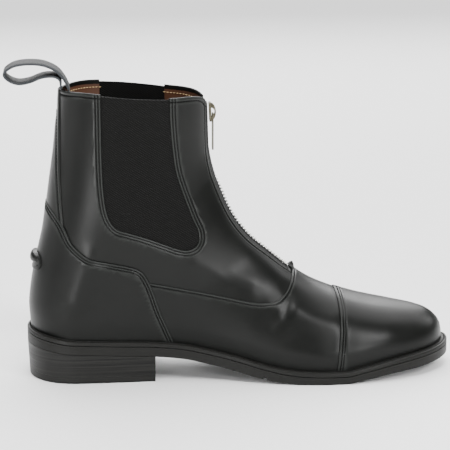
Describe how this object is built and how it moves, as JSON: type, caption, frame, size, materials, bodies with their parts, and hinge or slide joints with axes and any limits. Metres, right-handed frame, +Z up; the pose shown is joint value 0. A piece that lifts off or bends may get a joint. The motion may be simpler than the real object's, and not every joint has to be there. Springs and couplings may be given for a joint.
{
  "type": "paddock boot",
  "caption": "Ankle-high black leather boot with a toe cap, elastic side gores, a front zip, a spur rest, a pull loop and a low heel.",
  "frame": {"origin": "on the floor, below the middle of the heel", "axes": "+X towards the toe, +Y towards the inner side of the foot, +Z up"},
  "size_m": [0.3083, 0.0976, 0.2179],
  "materials": {
    "black_leather": "smooth semi-gloss calf",
    "tan_leather": "smooth lining leather",
    "black_elastic": "ribbed elastic weave",
    "black_webbing": "woven tape",
    "black_rubber": "satin",
    "zip_metal": "bright teeth on black tape",
    "slider_metal": "antique"
  },
  "bodies": {
    "boot": {"outsole": "black_rubber", "heel": "black_rubber", "welt": "black_rubber", "insole": "tan_leather", "upper": "black_leather", "vamp": "black_leather", "toe_cap": "black_leather", "counter": "black_leather", "back_stay": "black_leather", "gore_outer": "black_elastic", "gore_inner": "black_elastic", "spur_rest": "black_leather", "zip": "zip_metal", "zip_slider": "slider_metal", "pull_loop": "black_webbing"},
    "pull_tab": {"zip_pull_tab": "slider_metal"}
  },
  "joints": [
    {"name": "pull_tab_swing", "type": "hinge", "parent": "boot", "child": "pull_tab", "pos_m": [0.08564, 0.00025, 0.18086], "axis": [0, 1, 0], "range_deg": [-140, 3]}
  ]
}
